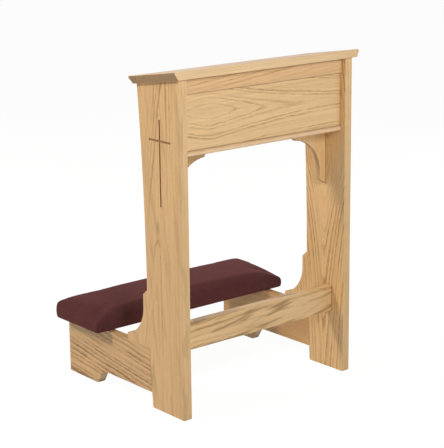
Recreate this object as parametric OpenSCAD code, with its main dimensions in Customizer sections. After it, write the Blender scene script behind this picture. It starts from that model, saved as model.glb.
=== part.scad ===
// Prie-dieu: a kneeler desk of oak boards with a sloping book rest and a padded kneeling board.
// x runs from left to right as seen from the closed front, y from that front to the kneeling pad, z up.
// The modules work from the front edge of the uprights; at_centre() puts the origin under the middle.

/* [Frame] */
// Width over the outer faces of the two uprights
frame_w = 600; // [520:1:700]
// Depth from the front edge of the uprights to the back of the runners
frame_d = 529; // [500:1:600]
// Thickness of the uprights and runners
board_t = 24.5; // [22:0.5:30]

/* [Uprights] */
// Height of the upright's front edge
front_h = 898; // [840:1:960]
// Depth of the upright at its top
top_depth = 175; // [168:1:195]
// How far the back edge curves in from the top to the waist
taper_in = 23; // [12:1:30]
// Height of the waist
waist_z = 325; // [310:1:380]
// How far the shoulder steps out behind the waist
shoulder_out = 18; // [10:1:24]
// How far the shoulder's sloping top falls
shoulder_fall = 15; // [8:1:24]
// Radius of the concave flare above the toe
flare_r = 90; // [84:1:100]
// How far the toe reaches behind the waist
toe_out = 93; // [84:1:98]
// Height of the toe's blunt end
toe_t = 20; // [12:1:26]
// How far the lower back edge sits in from the waist, at the top of the runner
heel_in = 5; // [3:1:10]
// How far the lower back edge sits in from the waist, at the floor
foot_in = 15; // [12:1:24]
// Chamfer on the corners that meet the floor
foot_chamfer = 3; // [1:0.5:6]

/* [Cross groove] */
// Height of the routed cross
cross_h = 227; // [180:1:260]
// Width of the routed cross
cross_w = 89; // [70:1:100]
// Width of the groove
groove_w = 5; // [3:0.5:7]
// Depth of the groove
groove_deep = 2.5; // [1:0.5:4]
// From the top of the upright down to the top of the cross
cross_down = 109; // [90:1:140]
// From the top of the cross down to the middle of its bar
cross_bar_down = 55; // [45:1:70]
// From the front edge of the upright to the middle of the cross
cross_in = 83.5; // [76:0.5:90]

/* [Runners] */
// Height of the runners
runner_h = 166; // [150:1:180]
// Height of the arch under the runner
arch_h = 42; // [30:1:56]
// Length of the back foot on the floor
back_foot = 137; // [110:1:150]
// How far the inner end of the back foot slants
foot_slant = 26; // [12:1:36]

/* [Book rest] */
// Fall of the book rest towards the kneeler, in degrees
rest_tilt = 8.5; // [5:0.5:12]
// Thickness of the book rest
rest_t = 21; // [18:0.5:26]
// Overhang of the book rest before the uprights
rest_front = 11; // [6:0.5:20]
// Overhang of the book rest behind the uprights
rest_back = 8; // [6:0.5:20]
// Overhang of the book rest at each end
rest_end = 18; // [12:0.5:26]
// How far the ends are cut under
end_undercut = 9; // [3:0.5:11]
// How far the back edge is cut under
back_undercut = 5; // [2:0.5:6]
// Height of the plain band above the undercuts
rest_band = 5; // [3:0.5:8]

/* [Front and shelf] */
// Depth from the front edge of the uprights to the face of the rail and of the shelf's nose
rail_in = 13; // [8:0.5:20]
// Height of the rail below the front edge of the uprights
rail_h = 40; // [30:1:56]
// How far the rail stands proud of the panel
rail_t = 6; // [4:0.5:9]
// Thickness of the front panel
panel_t = 19; // [16:0.5:22]
// Height of the front panel, between the rail and the shelf
panel_h = 147.5; // [120:0.5:180]
// Thickness of the book shelf
shelf_t = 13; // [12:0.5:19]
// How far the book shelf stops short of the uprights' depth at the waist
shelf_short = 2; // [0:0.5:10]

/* [Brackets] */
// Length of the bracket's leg down the upright
bracket_leg = 157; // [145:1:170]
// Length of the bracket's arm under the shelf
bracket_arm = 128; // [122:1:140]
// Width of the leg and the arm at their narrowest
bracket_tip = 22.5; // [19:0.5:27]
// Radius of the bracket's concave edge
bracket_r = 98; // [86:1:104]
// How far the ends of the leg and the arm slant
bracket_slant = 13; // [8:1:18]
// Thickness of the brackets
bracket_t = 14; // [11:0.5:20]
// Depth from the front edge of the uprights to the bracket
bracket_in = 75; // [60:1:90]

/* [Stretcher] */
// Height of the stretcher board
stretcher_h = 75; // [60:1:95]
// Thickness of the stretcher board
stretcher_t = 24.5; // [19:0.5:28]
// Height of its lower edge
stretcher_z = 172; // [150:1:190]
// Depth from the front edge of the uprights to the stretcher
stretcher_in = 46; // [36:1:60]

/* [Kneeling pad] */
// Overhang of the pad beyond each upright
pad_over = 40; // [25:1:50]
// Depth of the pad
pad_d = 201; // [190:1:220]
// Overhang of the pad behind the runners
pad_back = 3; // [0:0.5:8]
// Height of the pad at the middle of its edges
pad_h = 58; // [50:1:70]
// Rise of the crown above the edges
pad_crown = 5; // [3:0.5:9]
// Fall of the pad towards its two ends
pad_end_fall = 13; // [6:0.5:16]
// Rounding of the pad's upper edge
pad_edge_r = 24; // [16:1:30]
// Rounding of the pad's corners seen from above
pad_corner_r = 22; // [20:1:36]
// Thickness of the plywood base
base_t = 12; // [9:0.5:15]
// Thickness of the cover's fabric
fabric_t = 1.2; // [0.8:0.1:2]
// Width of the fabric turned in under the base
turn_in = 24; // [18:1:36]

/* [Cleats and battens] */
// Side of the square strips that carry the screws
strip_side = 20; // [18:0.5:24]
// Length of the cleats under the pad
cleat_l = 130; // [110:1:150]
// How far the battens under the book rest stop short of the uprights' back edge
batten_short = 23.5; // [12:0.5:40]

/* [Fasteners] */
// Diameter of the large dowels
dowel_d = 10; // [8:0.5:12]
// Diameter of the small dowels
small_dowel_d = 6; // [5:0.5:8]
// Diameter of the screws
screw_d = 4; // [3.5:0.1:5]
// Diameter of the screw heads
screw_head_d = 8; // [7:0.1:9]
// Number of staples along each long edge of the base
staples = 14; // [6:1:20]

/* [Hidden] */

oak = [0.83, 0.69, 0.49];
oak_warm = [0.85, 0.70, 0.52];
beech = [0.86, 0.75, 0.58];
burgundy = [0.41, 0.22, 0.23];
foam_cream = [0.90, 0.86, 0.72];
black_cloth = [0.09, 0.09, 0.10];
zinc = [0.74, 0.74, 0.72];

$fn = 64;
fine_fn = 128;
cut = 1;              // overrun of every cut
slack = 0.1;          // room round a dowel or screw in its hole
cloth_slack = 0.3;    // room between soft solids and what they touch

inner_x = frame_w / 2 - board_t;
front_y = -rest_front * cos(rest_tilt);
back_y = frame_d + pad_back;
mid_y = (front_y + back_y) / 2;

waist_depth = top_depth - taper_in;
toe_depth = waist_depth + toe_out;
heel_depth = waist_depth - heel_in;
foot_depth = waist_depth - foot_in;

// Depth of the upright's straight lower back edge at height z
function heel_y(z) = foot_depth + (heel_depth - foot_depth) * z / runner_h;

// Height of the sloping underside of the book rest at depth y
function rest_z(y) = front_h - y * tan(rest_tilt);

// The taper's arc is tangent to the vertical at the waist
taper_rise = rest_z(top_depth) - waist_z;
taper_r = (pow(top_depth - waist_depth, 2) + pow(taper_rise, 2)) / (2 * (top_depth - waist_depth));
taper_steps = 16;
function taper_y(z) = waist_depth + taper_r - sqrt(pow(taper_r, 2) - pow(z - waist_z, 2));

flare_y = waist_depth + shoulder_out + flare_r;
flare_z = runner_h + toe_t + sqrt(pow(flare_r, 2) - pow(toe_depth - flare_y, 2));

rail_z = front_h - rail_h;
shelf_top = rail_z - panel_h;
shelf_z = shelf_top - shelf_t;
panel_in = rail_in + rail_t;
panel_back = panel_in + panel_t;
shelf_d = waist_depth - shelf_short - rail_in;

pad_hx = frame_w / 2 + pad_over;
pad_hy = pad_d / 2;
pad_mid = frame_d + pad_back - pad_hy;
base_in = fabric_t + cloth_slack;

// Where the fasteners sit, as shares of the piece that they join
pair_shares = [0.25, 0.75];
trio_shares = [0.18, 0.5, 0.82];
cleat_screw_share = 0.33;    // down from the cleat's top, of its side
batten_screw_share = 0.67;   // down from the batten's top, of its side
pad_screw_share = 0.75;      // how deep the pad's screws go, of the base
point_share = 0.25;          // width of a screw's point, of the screw
cleat_shift_share = 0.17;    // how far the cleats sit behind the pad's middle, of its half depth
dowel_l = 40;
dowel_in_board = 14;
small_dowel_l = 28;
small_dowel_in = 12;
bracket_dowel_in = 7;
runner_dowel_l = 50;
screw_grip = 12;      // how far a screw enters the second piece
batten_gap = 2;       // from the back of the panel to the battens
cleat_y = pad_mid - cleat_l / 2 + pad_hy * cleat_shift_share;
batten_y = (panel_back + strip_side * sin(rest_tilt) + batten_gap) / cos(rest_tilt);
batten_l = (top_depth - batten_short) / cos(rest_tilt) - batten_y;
strip_screw_l = strip_side + screw_grip;
pad_screw_l = strip_side + fabric_t + base_t * pad_screw_share;

staple_w = 10;
staple_wire = 1.2;
staple_gauge = 0.6;
staple_in = 20;       // from the runners to the nearest staple

// Shape of the pad's skin
corner_steps = 5;
long_steps = 10;
short_steps = 4;
side_draw = 1.5;      // how far the long sides are drawn in at their middle
under_draw = 2;       // how far the fabric is drawn in under its edge
min_corner_r = 2;     // corner radius of the innermost rings
corner_share = 0.5;   // how much of a ring's inset its corner radius loses
side_share = 0.1;     // height of the widest ring, of the pad's height
end_power = 6;        // how sharply the pad falls away at its ends
edge_angles = [0, 22.5, 45, 67.5, 90];
crown_shares = [0.3, 0.6, 0.9];

// Frames

module at_centre() { translate([0, -mid_y, 0]) children(); }

module right_side() { translate([inner_x, 0, 0]) children(); }

module left_side() { mirror([1, 0, 0]) right_side() children(); }

module both_sides() { right_side() children(); left_side() children(); }

// Extrudes a y-z outline along x
module along_x(length) { rotate([90, 0, 90]) linear_extrude(length) children(); }

// Puts the children on the underside of the book rest, y down the slope and z square to it
module on_slope() { translate([0, 0, front_h]) rotate([-rest_tilt, 0, 0]) children(); }

// Fasteners

module dowel(length, d) { cylinder(h = length, d = d); }

module screw(length) {
    head_h = (screw_head_d - screw_d) / 2;
    tip_h = screw_d;
    rotate_extrude() polygon([
        [0, 0], [screw_head_d / 2, 0], [screw_d / 2, head_h],
        [screw_d / 2, length - tip_h], [screw_d / 2 * point_share, length], [0, length]
    ]);
}

// The hole that a screw leaves, a little wider than the screw and open at its head
module screw_hole(length) {
    head_h = (screw_head_d - screw_d) / 2;
    rotate_extrude() polygon([
        [0, -cut], [screw_head_d / 2 + slack, -cut], [screw_head_d / 2 + slack, 0],
        [screw_d / 2 + slack, head_h], [screw_d / 2 + slack, length + slack], [0, length + slack]
    ]);
}

// Places of the fasteners on the right side, measured from the upright's inner face

module stretcher_dowel_places() {
    for (s = pair_shares)
        translate([0, stretcher_in + stretcher_t / 2, stretcher_z + s * stretcher_h])
            rotate([0, 90, 0]) children();
}

module panel_dowel_places() {
    for (s = trio_shares)
        translate([0, panel_in + panel_t / 2, shelf_top + s * (rail_z - shelf_top)])
            rotate([0, 90, 0]) children();
}

module shelf_dowel_places() {
    for (s = trio_shares)
        translate([0, panel_back + s * (rail_in + shelf_d - panel_back), shelf_z + shelf_t / 2])
            rotate([0, 90, 0]) children();
}

module bracket_dowel_places() {
    for (s = pair_shares)
        translate([0, bracket_in + bracket_t / 2, shelf_z - s * bracket_leg])
            rotate([0, 90, 0]) children();
}

module bracket_top_places() {
    for (s = pair_shares)
        translate([-s * bracket_arm, bracket_in + bracket_t / 2, shelf_z]) children();
}

// The dowels between runner and upright lie along y, square to neither sloping end
module runner_dowel_places() {
    for (s = trio_shares) {
        z = arch_h + s * (runner_h - arch_h);
        translate([board_t / 2, heel_y(z), z]) rotate([-90, 0, 0]) children();
    }
}

module cleat_screw_places() {
    for (s = pair_shares)
        translate([-strip_side, cleat_y + s * cleat_l, runner_h - strip_side * cleat_screw_share])
            rotate([0, 90, 0]) children();
}

module pad_screw_places() {
    for (s = trio_shares)
        translate([-strip_side / 2, cleat_y + s * cleat_l, runner_h - strip_side]) children();
}

module batten_screw_places() {
    on_slope() for (s = pair_shares)
        translate([-strip_side, batten_y + s * batten_l, -strip_side * batten_screw_share])
            rotate([0, 90, 0]) children();
}

module top_screw_places() {
    on_slope() for (s = trio_shares)
        translate([-strip_side / 2, batten_y + s * batten_l, -strip_side]) children();
}

// Uprights

module upright_outline() {
    difference() {
        polygon(concat(
            [[0, foot_chamfer], [foot_chamfer, 0]],
            [[foot_depth - foot_chamfer, 0], [heel_y(foot_chamfer), foot_chamfer]],
            [[heel_depth, runner_h], [toe_depth, runner_h], [toe_depth, flare_z]],
            [[waist_depth + shoulder_out, flare_z]],
            [[waist_depth + shoulder_out, waist_z - shoulder_fall]],
            [for (i = [0 : taper_steps]) let (z = waist_z + taper_rise * i / taper_steps) [taper_y(z), z]],
            [[0, front_h]]
        ));
        translate([flare_y, flare_z]) circle(r = flare_r, $fn = fine_fn);
    }
}

module cross_groove() {
    z_top = front_h - cross_down;
    translate([0, cross_in - groove_w / 2, z_top - cross_h]) cube([groove_deep + cut, groove_w, cross_h]);
    translate([0, cross_in - cross_w / 2, z_top - cross_bar_down - groove_w / 2])
        cube([groove_deep + cut, cross_w, groove_w]);
}

// The right upright, with its inner face at x = 0
module upright() {
    color(oak) difference() {
        along_x(board_t) upright_outline();
        translate([board_t - groove_deep, 0, 0]) cross_groove();
        translate([-cut, 0, 0]) {
            stretcher_dowel_places() dowel(dowel_in_board + slack + cut, dowel_d + 2 * slack);
            panel_dowel_places() dowel(dowel_in_board + slack + cut, dowel_d + 2 * slack);
            shelf_dowel_places() dowel(small_dowel_in + slack + cut, small_dowel_d + 2 * slack);
            bracket_dowel_places() dowel(small_dowel_in + slack + cut, small_dowel_d + 2 * slack);
        }
        runner_dowel_places() translate([0, 0, -runner_dowel_l / 2 - slack])
            dowel(runner_dowel_l + cut, dowel_d + 2 * slack);
        batten_screw_places() screw_hole(strip_screw_l);
    }
}

// Runners

module runner_outline() {
    foot_y = frame_d - back_foot;
    polygon([
        [heel_depth, runner_h], [frame_d, runner_h],
        [frame_d, foot_chamfer], [frame_d - foot_chamfer, 0],
        [foot_y, 0], [foot_y - foot_slant, arch_h], [heel_y(arch_h), arch_h]
    ]);
}

module runner() {
    color(oak) difference() {
        along_x(board_t) runner_outline();
        runner_dowel_places() translate([0, 0, -cut])
            dowel(runner_dowel_l / 2 + slack + cut, dowel_d + 2 * slack);
        cleat_screw_places() screw_hole(strip_screw_l);
    }
}

// Book rest

module rest_section() {
    y0 = -rest_front;
    y1 = top_depth / cos(rest_tilt) + rest_back;
    polygon([[y0, 0], [y1 - back_undercut, 0], [y1, rest_t - rest_band], [y1, rest_t], [y0, rest_t]]);
}

module end_cut() {
    translate([frame_w / 2 + rest_end, -rest_front - cut, 0]) rotate([-90, 0, 0])
        linear_extrude(top_depth + rest_front + rest_back + rest_t)
            polygon([[-end_undercut, 0], [0, -(rest_t - rest_band)], [cut, -(rest_t - rest_band)],
                     [cut, cut], [-end_undercut, cut]]);
}

module top_board() {
    color(oak) at_centre() difference() {
        on_slope() difference() {
            translate([-frame_w / 2 - rest_end, 0, 0]) along_x(frame_w + 2 * rest_end) rest_section();
            end_cut();
            mirror([1, 0, 0]) end_cut();
        }
        both_sides() top_screw_places() screw_hole(strip_screw_l);
    }
}

// Front

module front_strip(y0, y1, z0) {
    translate([-inner_x, 0, 0]) along_x(2 * inner_x)
        polygon([[y0, z0], [y1, z0], [y1, rest_z(y1)], [y0, rest_z(y0)]]);
}

module upper_rail() { color(oak_warm) at_centre() front_strip(rail_in, panel_in, rail_z); }

module front_panel() {
    color(oak_warm) at_centre() difference() {
        front_strip(panel_in, panel_back, shelf_top);
        both_sides() panel_dowel_places() translate([0, 0, -dowel_l + dowel_in_board - slack])
            dowel(dowel_l, dowel_d + 2 * slack);
    }
}

module shelf_section() {
    nose = shelf_t / 2;
    translate([rail_in + nose, shelf_z + nose]) circle(r = nose);
    translate([rail_in + nose, shelf_z]) square([shelf_d - nose, shelf_t]);
}

module book_shelf() {
    color(oak) at_centre() difference() {
        translate([-inner_x, 0, 0]) along_x(2 * inner_x) shelf_section();
        both_sides() {
            shelf_dowel_places() translate([0, 0, -small_dowel_l + small_dowel_in - slack])
                dowel(small_dowel_l, small_dowel_d + 2 * slack);
            bracket_top_places() translate([0, 0, -cut])
                dowel(bracket_dowel_in + slack + cut, small_dowel_d + 2 * slack);
        }
    }
}

// Brackets: the outline's corner is at the origin, the arm runs along x and the leg along y

module bracket_outline() {
    middle = bracket_tip + bracket_r;
    difference() {
        polygon([
            [0, 0], [bracket_arm, 0], [bracket_arm - 2 * bracket_slant, 2 * bracket_tip],
            [2 * bracket_tip, bracket_leg - 2 * bracket_slant], [0, bracket_leg]
        ]);
        translate([middle, middle]) circle(r = bracket_r, $fn = fine_fn);
        translate([middle, bracket_tip]) square(bracket_leg);
        translate([bracket_tip, middle]) square(bracket_leg);
    }
}

module bracket() {
    color(oak) difference() {
        translate([0, bracket_in, shelf_z]) rotate([-90, 0, 0])
            linear_extrude(bracket_t) mirror([1, 0, 0]) bracket_outline();
        bracket_dowel_places() translate([0, 0, -small_dowel_l + small_dowel_in - slack])
            dowel(small_dowel_l, small_dowel_d + 2 * slack);
        bracket_top_places() translate([0, 0, -small_dowel_in - slack])
            dowel(small_dowel_in + cut, small_dowel_d + 2 * slack);
    }
}

// Stretcher

module stretcher() {
    color(oak) at_centre() difference() {
        translate([-inner_x, stretcher_in, stretcher_z]) cube([2 * inner_x, stretcher_t, stretcher_h]);
        both_sides() stretcher_dowel_places() translate([0, 0, -dowel_l + dowel_in_board - slack])
            dowel(dowel_l, dowel_d + 2 * slack);
    }
}

// Strips that carry the screws

module batten() {
    color(oak) difference() {
        on_slope() translate([-strip_side, batten_y, -strip_side]) cube([strip_side, batten_l, strip_side]);
        batten_screw_places() screw_hole(strip_screw_l);
        top_screw_places() screw_hole(strip_screw_l);
    }
}

module cleat() {
    color(oak) difference() {
        translate([-strip_side, cleat_y, runner_h - strip_side]) cube([strip_side, cleat_l, strip_side]);
        cleat_screw_places() screw_hole(strip_screw_l);
        pad_screw_places() screw_hole(pad_screw_l);
    }
}

// Kneeling pad: rings of points, drawn in from the outline and raised, from the base to the crown

// One ring seen from above: a rounded rectangle with the given half sizes and corner radius
function quarter_arc(cx, cy, r, a0) =
    [for (i = [0 : corner_steps]) let (a = a0 + 90 * i / corner_steps) [cx + r * cos(a), cy + r * sin(a)]];

function between(p, q, steps) = [for (i = [1 : steps - 1]) p + (q - p) * i / steps];

function ring(hx, hy, r) =
    let (x = hx - r, y = hy - r)
    concat(
        quarter_arc(x, y, r, 0), between([x, hy], [-x, hy], long_steps),
        quarter_arc(-x, y, r, 90), between([-hx, y], [-hx, -y], short_steps),
        quarter_arc(-x, -y, r, 180), between([-x, -hy], [x, -hy], long_steps),
        quarter_arc(x, -y, r, 270), between([hx, -y], [hx, y], short_steps)
    );

// How high a point of the pad stands, as the pad falls away towards its two ends
function fallen(x, z) = z - pad_end_fall * pow(abs(x) / pad_hx, end_power) * z / pad_h;

// The long sides are drawn in most at their middle
function drawn(p, hy) = abs(p[1]) > hy - pad_corner_r
    ? [p[0], p[1] - sign(p[1]) * side_draw * (1 - pow(p[0] / pad_hx, 2))] : p;

function pad_ring(inset, z, skin) =
    let (hx = pad_hx - inset - skin, hy = pad_hy - inset - skin)
    let (r = max(pad_corner_r - inset * corner_share, min_corner_r))
    [for (p = ring(hx, hy, r)) let (q = drawn(p, hy)) [q[0], q[1], fallen(q[0], z - skin)]];

// A ring that lies flat at height z
function flat_ring(inset, z, skin) = [for (p = pad_ring(inset, z, skin)) [p[0], p[1], z]];

edge_levels = [for (a = edge_angles) [pad_edge_r * (1 - cos(a)), pad_h - pad_edge_r + pad_edge_r * sin(a)]];
crown_levels = [for (s = crown_shares)
    [pad_edge_r + (pad_hy - pad_edge_r) * s, pad_h + pad_crown * sin(90 * s)]];

// The rings of the pad's outside, from its widest ring up to the crown, made smaller all round by skin
function upper_rings(skin) = [for (l = concat(edge_levels, crown_levels)) pad_ring(l[0], l[1], skin)];

function crown_point(skin) = [0, 0, pad_h + pad_crown - skin];

function reversed(list) = [for (i = [len(list) - 1 : -1 : 0]) list[i]];

// One closed skin through a row of rings, with a point at each end
module skin_through(start, rings, end) {
    n = len(rings[0]);
    m = len(rings);
    polyhedron(
        points = concat([start], [for (r = rings) each r], [end]),
        faces = concat(
            [for (i = [0 : n - 1]) [0, 1 + i, 1 + (i + 1) % n]],
            [for (k = [0 : m - 2], i = [0 : n - 1])
                let (a = 1 + k * n + i, b = 1 + k * n + (i + 1) % n) each [[a, a + n, b + n], [a, b + n, b]]],
            [for (i = [0 : n - 1]) [1 + (m - 1) * n + (i + 1) % n, 1 + (m - 1) * n + i, 1 + m * n]]
        ),
        convexity = 4
    );
}

module at_pad() { translate([0, pad_mid, runner_h]) children(); }

// The cover is one shell, from the inside of its crown down, round the turned-in edge and up over the outside
module kneeler_cover() {
    outside = concat(
        [flat_ring(turn_in, 0, 0), flat_ring(under_draw, 0, 0), pad_ring(0, pad_h * side_share, 0)],
        upper_rings(0)
    );
    inside = concat(
        [flat_ring(turn_in, fabric_t, 0), flat_ring(under_draw + fabric_t, fabric_t, 0)],
        [pad_ring(0, pad_h * side_share, fabric_t)],
        upper_rings(fabric_t)
    );
    color(burgundy) at_centre() at_pad()
        skin_through(crown_point(fabric_t), concat(reversed(inside), outside), crown_point(0));
}

module kneeler_foam() {
    skin = fabric_t + cloth_slack;
    floor_z = fabric_t + base_t + cloth_slack;
    rings = concat([flat_ring(skin, floor_z, 0)], upper_rings(skin));
    color(foam_cream) at_centre() at_pad() skin_through([0, 0, floor_z], rings, crown_point(skin));
}

// A flat plate with round corners, inset from the pad's outline and clear of its drawn-in sides
module plate(inset, thickness, r) {
    hx = pad_hx - inset;
    hy = pad_hy - inset - side_draw;
    linear_extrude(thickness) {
        for (sx = [-1, 1], sy = [-1, 1]) translate([sx * (hx - r), sy * (hy - r)]) circle(r = r);
        square([2 * hx, 2 * (hy - r)], center = true);
        square([2 * (hx - r), 2 * hy], center = true);
    }
}

module kneeler_board() {
    color(beech) at_centre() difference() {
        at_pad() translate([0, 0, fabric_t]) plate(under_draw + base_in, base_t, pad_corner_r - under_draw);
        both_sides() pad_screw_places() screw_hole(pad_screw_l);
    }
}

module dust_cover() {
    color(black_cloth) at_centre() difference() {
        at_pad() plate(turn_in + cloth_slack, fabric_t, pad_corner_r - turn_in * corner_share);
        both_sides() pad_screw_places() screw_hole(pad_screw_l);
    }
}

// The wire staples lie across the turned-in fabric, between the two runners
module cover_staples() {
    reach = inner_x - staple_in;
    color(zinc) at_centre() for (side = [-1, 1], i = [0 : staples - 1])
        translate([-reach + 2 * reach * i / (staples - 1) - staple_w / 2,
                   pad_mid + side * (pad_hy - turn_in / 2) - staple_wire / 2,
                   runner_h - staple_gauge])
            cube([staple_w, staple_wire, staple_gauge]);
}

// Nodes

module left_upright() { at_centre() left_side() upright(); }
module right_upright() { at_centre() right_side() upright(); }
module left_runner() { at_centre() left_side() runner(); }
module right_runner() { at_centre() right_side() runner(); }
module left_bracket() { at_centre() left_side() bracket(); }
module right_bracket() { at_centre() right_side() bracket(); }
module left_batten() { at_centre() left_side() batten(); }
module right_batten() { at_centre() right_side() batten(); }
module left_cleat() { at_centre() left_side() cleat(); }
module right_cleat() { at_centre() right_side() cleat(); }
module batten_screws() { color(zinc) at_centre() both_sides() batten_screw_places() screw(strip_screw_l); }
module top_screws() { color(zinc) at_centre() both_sides() top_screw_places() screw(strip_screw_l); }
module cleat_screws() { color(zinc) at_centre() both_sides() cleat_screw_places() screw(strip_screw_l); }
module pad_screws() { color(zinc) at_centre() both_sides() pad_screw_places() screw(pad_screw_l); }

module stretcher_dowels() {
    color(beech) at_centre() both_sides() stretcher_dowel_places()
        translate([0, 0, dowel_in_board - dowel_l]) dowel(dowel_l, dowel_d);
}

module panel_dowels() {
    color(beech) at_centre() both_sides() panel_dowel_places()
        translate([0, 0, dowel_in_board - dowel_l]) dowel(dowel_l, dowel_d);
}

module runner_dowels() {
    color(beech) at_centre() both_sides() runner_dowel_places()
        translate([0, 0, -runner_dowel_l / 2]) dowel(runner_dowel_l, dowel_d);
}

module shelf_dowels() {
    color(beech) at_centre() both_sides() shelf_dowel_places()
        translate([0, 0, small_dowel_in - small_dowel_l]) dowel(small_dowel_l, small_dowel_d);
}

module bracket_dowels() {
    color(beech) at_centre() both_sides() {
        bracket_dowel_places() translate([0, 0, small_dowel_in - small_dowel_l])
            dowel(small_dowel_l, small_dowel_d);
        bracket_top_places() translate([0, 0, -small_dowel_in])
            dowel(small_dowel_in + bracket_dowel_in, small_dowel_d);
    }
}

left_upright();
right_upright();
left_runner();
right_runner();
top_board();
upper_rail();
front_panel();
book_shelf();
left_bracket();
right_bracket();
stretcher();
left_batten();
right_batten();
batten_screws();
top_screws();
left_cleat();
right_cleat();
cleat_screws();
pad_screws();
kneeler_board();
kneeler_foam();
kneeler_cover();
dust_cover();
cover_staples();
stretcher_dowels();
runner_dowels();
panel_dowels();
shelf_dowels();
bracket_dowels();
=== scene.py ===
import math

import bmesh
import bpy
from mathutils import Matrix, Vector


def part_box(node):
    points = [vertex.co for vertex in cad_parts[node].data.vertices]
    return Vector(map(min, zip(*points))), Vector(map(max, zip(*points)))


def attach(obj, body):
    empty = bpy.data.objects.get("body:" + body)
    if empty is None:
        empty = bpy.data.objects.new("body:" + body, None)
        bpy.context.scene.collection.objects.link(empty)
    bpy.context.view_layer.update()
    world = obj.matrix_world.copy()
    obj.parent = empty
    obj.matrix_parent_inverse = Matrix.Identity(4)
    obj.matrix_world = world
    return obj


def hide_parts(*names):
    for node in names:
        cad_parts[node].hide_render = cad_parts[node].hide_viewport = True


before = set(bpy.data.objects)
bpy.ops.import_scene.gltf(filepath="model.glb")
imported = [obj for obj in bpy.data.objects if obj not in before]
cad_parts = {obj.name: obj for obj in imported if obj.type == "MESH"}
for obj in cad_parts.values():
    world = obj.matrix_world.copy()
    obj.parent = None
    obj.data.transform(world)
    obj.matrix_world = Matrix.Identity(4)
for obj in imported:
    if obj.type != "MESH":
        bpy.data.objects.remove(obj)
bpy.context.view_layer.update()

MM = 0.001

# Directions of a board's grain and of the way across its face
LENGTHWAYS = Vector((1, 0, 0))
FRONT_TO_BACK = Vector((0, 1, 0))
UPWARDS = Vector((0, 0, 1))


# Selecting and finishing pieces

def deselect_all():
    for piece in bpy.context.selected_objects:
        piece.select_set(False)


def select_only(piece):
    deselect_all()
    piece.select_set(True)
    bpy.context.view_layer.objects.active = piece


def apply_modifiers(piece):
    select_only(piece)
    for modifier in list(piece.modifiers):
        bpy.ops.object.modifier_apply(modifier=modifier.name)
    piece.select_set(False)


def smooth(piece, angle):
    select_only(piece)
    bpy.ops.object.shade_smooth_by_angle(angle=angle)
    piece.select_set(False)


deselect_all()


# Node graphs

class Graph:
    """Adds nodes to one tree and links them, with plain numbers or sockets as inputs."""

    def __init__(self, tree):
        self.tree = tree

    def node(self, kind, **settings):
        node = self.tree.nodes.new(kind)
        for name, value in settings.items():
            setattr(node, name, value)
        return node

    def feed(self, socket, value):
        if isinstance(value, bpy.types.NodeSocket):
            self.tree.links.new(value, socket)
        else:
            socket.default_value = value

    def math(self, operation, *values, clamp=False):
        node = self.node("ShaderNodeMath", operation=operation, use_clamp=clamp)
        for socket, value in zip(node.inputs, values):
            self.feed(socket, value)
        return node.outputs[0]

    def plus(self, first, second):
        return self.math("ADD", first, second)

    def minus(self, first, second):
        return self.math("SUBTRACT", first, second)

    def times(self, first, second):
        return self.math("MULTIPLY", first, second)

    def size_of(self, value):
        return self.math("ABSOLUTE", value)

    def less(self, share, amount=1.0):
        """1 where the share is 0, and less by the amount where the share is 1."""
        return self.minus(1.0, self.times(share, amount))

    def slanted_length(self, first, second):
        squares = self.plus(self.times(first, first), self.times(second, second))
        return self.math("SQRT", squares)

    def swing(self, noise, amount):
        """A noise value turned into a swing of plus or minus amount."""
        return self.times(self.minus(noise, 0.5), self.times(amount, 2.0))

    def between(self, value, low, high):
        """A smooth rise from 0 at low to 1 at high, or a fall where high is the lower of the two."""
        node = self.node("ShaderNodeMapRange", interpolation_type="SMOOTHSTEP")
        self.feed(node.inputs["Value"], value)
        self.feed(node.inputs["From Min"], low)
        self.feed(node.inputs["From Max"], high)
        return node.outputs["Result"]

    def point(self, x, y, z=0.0):
        node = self.node("ShaderNodeCombineXYZ")
        for socket, value in zip(node.inputs, (x, y, z)):
            self.feed(socket, value)
        return node.outputs[0]

    def vector(self, operation, *values):
        node = self.node("ShaderNodeVectorMath", operation=operation)
        for socket, value in zip(node.inputs, values):
            self.feed(socket, value)
        return node.outputs["Value" if operation in ("DOT_PRODUCT", "LENGTH") else "Vector"]

    def turned(self, place, angles):
        node = self.node("ShaderNodeMapping")
        self.feed(node.inputs["Vector"], place)
        node.inputs["Rotation"].default_value = angles
        return node.outputs[0]

    def noise(self, place, scale=1.0, detail=2.0, roughness=0.5):
        node = self.node("ShaderNodeTexNoise")
        self.feed(node.inputs["Vector"], place)
        self.feed(node.inputs["Scale"], scale)
        self.feed(node.inputs["Detail"], detail)
        self.feed(node.inputs["Roughness"], roughness)
        return node.outputs["Fac"]

    def grain_noise(self, place, pace, detail, roughness=0.5):
        """Noise drawn out along the grain, which is the place's x."""
        along, across = pace
        stretched = self.vector("MULTIPLY", place, (along, across, across))
        return self.noise(stretched, detail=detail, roughness=roughness)

    def mix(self, share, first, second, blend="MIX"):
        node = self.node("ShaderNodeMix", data_type="RGBA", blend_type=blend)
        self.feed(node.inputs[0], share)
        self.feed(node.inputs[6], first)
        self.feed(node.inputs[7], second)
        return node.outputs[2]

    def object_place(self):
        return self.node("ShaderNodeTexCoord").outputs["Object"]

    def raise_surface(self, shader, height, strength, depth):
        bump = self.node("ShaderNodeBump")
        bump.inputs["Strength"].default_value = strength
        bump.inputs["Distance"].default_value = depth
        self.feed(bump.inputs["Height"], height)
        self.feed(shader.inputs["Normal"], bump.outputs[0])


FLOAT, COLOUR, VECTOR = "NodeSocketFloat", "NodeSocketColor", "NodeSocketVector"


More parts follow.
